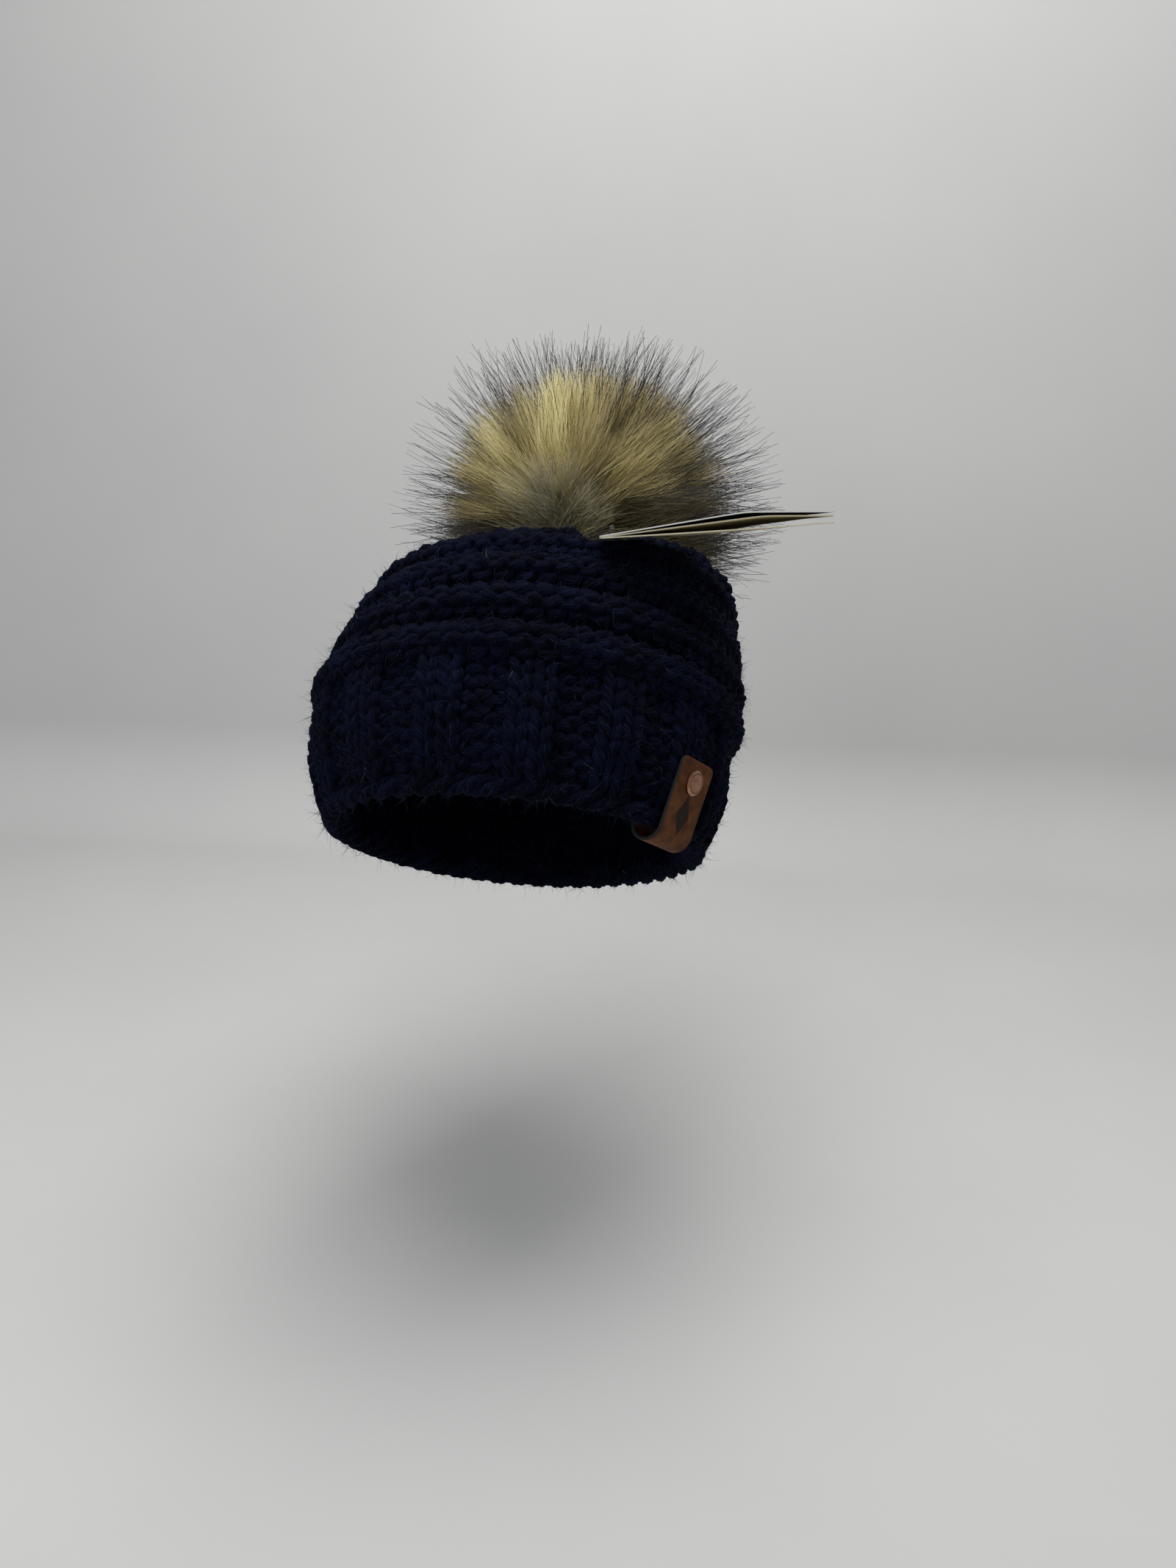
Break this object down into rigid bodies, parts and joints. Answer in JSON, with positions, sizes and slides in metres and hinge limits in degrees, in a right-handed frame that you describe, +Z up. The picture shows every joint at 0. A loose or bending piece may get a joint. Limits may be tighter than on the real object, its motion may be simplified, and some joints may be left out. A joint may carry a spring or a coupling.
{
  "type": "pom pom beanie",
  "caption": "Chunky knit beanie with a rib band, rolled crown, faux fur pom, riveted leather tag and swinging card tags; worn tilted back.",
  "frame": {"origin": "centre of the oval rim that the head enters", "axes": "+Z up, along the upright head; the wearer faces -Y; +X is the wearer's left; the hat's own axis leans 32 degrees back from +Z"},
  "size_m": [0.2293, 0.2501, 0.2575],
  "materials": {
    "knit_yarn": "chunky matt acrylic yarn, very dark navy, slightly fuzzy",
    "pom_fur": "long faux fur, khaki tan with dark brown streaks and black tips",
    "pom_backing": "woven backing cloth of the faux fur",
    "stuffing": "white polyester fibre filling",
    "thread": "strong dark thread and elastic cord",
    "button": "dark moulded plastic button",
    "leather": "brown grain leather with dark cut edges",
    "rivet": "rose copper plated rivet, bright rim",
    "fastener": "clear nylon tag fastener",
    "card_coated": "coated card, pale grey outside and black inside",
    "card_kraft": "uncoated kraft card",
    "card_cream": "uncoated cream card"
  },
  "bodies": {
    "hat": {"cast_on_edge": "knit_yarn", "rib_band": "knit_yarn", "welt_1": "knit_yarn", "welt_2": "knit_yarn", "welt_3": "knit_yarn", "welt_4": "knit_yarn", "welt_5": "knit_yarn", "welt_6": "knit_yarn", "welt_7": "knit_yarn", "crown_gather": "knit_yarn", "gather_yarn": "knit_yarn", "anchor_button": "button", "tie_cord": "thread", "leather_tag": "leather", "rivet_cap": "rivet", "rivet_base": "rivet", "rivet_post": "rivet", "tag_fastener": "fastener"},
    "pom_neck": {"tie_knot": "thread"},
    "pom": {"pom_fur": "pom_fur", "pom_backing": "pom_backing", "pom_stuffing": "stuffing", "pom_thread": "thread"},
    "card_bottom": {"card_bottom": "card_cream"},
    "card_middle": {"card_middle": "card_kraft"},
    "card_top": {"card_top": "card_coated"}
  },
  "joints": [
    {"name": "pom_nod", "type": "hinge", "parent": "hat", "child": "pom_neck", "pos_m": [0.01826, 0.08342, 0.11001], "axis": [1, 0, 0], "range_deg": [-14, 6], "stiffness_Nm_per_rad": 0.6},
    {"name": "pom_sway", "type": "hinge", "parent": "pom_neck", "child": "pom", "pos_m": [0.01826, 0.08342, 0.11001], "axis": [0, 0.848, -0.5299], "range_deg": [-10, 10], "stiffness_Nm_per_rad": 0.6},
    {"name": "card_swivel", "type": "hinge", "parent": "hat", "child": "card_bottom", "pos_m": [0.0435, -0.002, 0.14], "axis": [0, 0, 1], "range_deg": [-30, 4]},
    {"name": "middle_card_lift", "type": "hinge", "parent": "card_bottom", "child": "card_middle", "pos_m": [0.03858, -0.00269, 0.14041], "axis": [0.1392, -0.9903, 0], "range_deg": [0, 8]},
    {"name": "top_card_lift", "type": "hinge", "parent": "card_middle", "child": "card_top", "pos_m": [0.0386, -0.00269, 0.14125], "axis": [0.1392, -0.9903, 0], "range_deg": [0, 12]}
  ]
}
